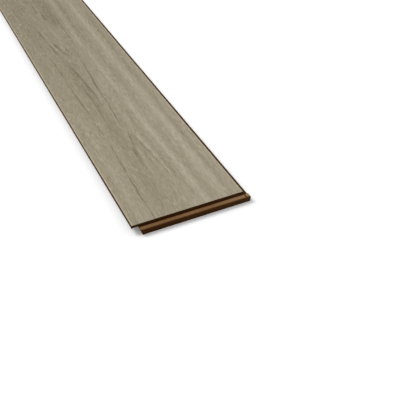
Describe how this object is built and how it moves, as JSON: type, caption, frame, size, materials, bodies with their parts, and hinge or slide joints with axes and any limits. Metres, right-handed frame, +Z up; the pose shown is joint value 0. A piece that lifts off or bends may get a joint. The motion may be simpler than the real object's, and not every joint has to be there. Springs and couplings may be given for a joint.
{
  "type": "laminate floor plank",
  "caption": "Grey oak laminate floor plank: fibreboard core with drop-in lips and overhangs milled along its edges, faced with a thin decor sheet bevelled along its long sides.",
  "frame": {"origin": "bottom centre of the overall box, lips included, on the plank's underside", "axes": "+Y along the plank from the lipped end to the overhanging end, +X across it towards the lipped long side, +Z up out of the decor face"},
  "size_m": [0.15, 1.2224, 0.012],
  "materials": {
    "fibreboard": "milled high density fibreboard, brown, matt",
    "oak_decor": "printed grey-beige oak grain under a matt resin overlay"
  },
  "bodies": {
    "root": {"core_board": "fibreboard", "decor_layer": "oak_decor"}
  },
  "joints": []
}
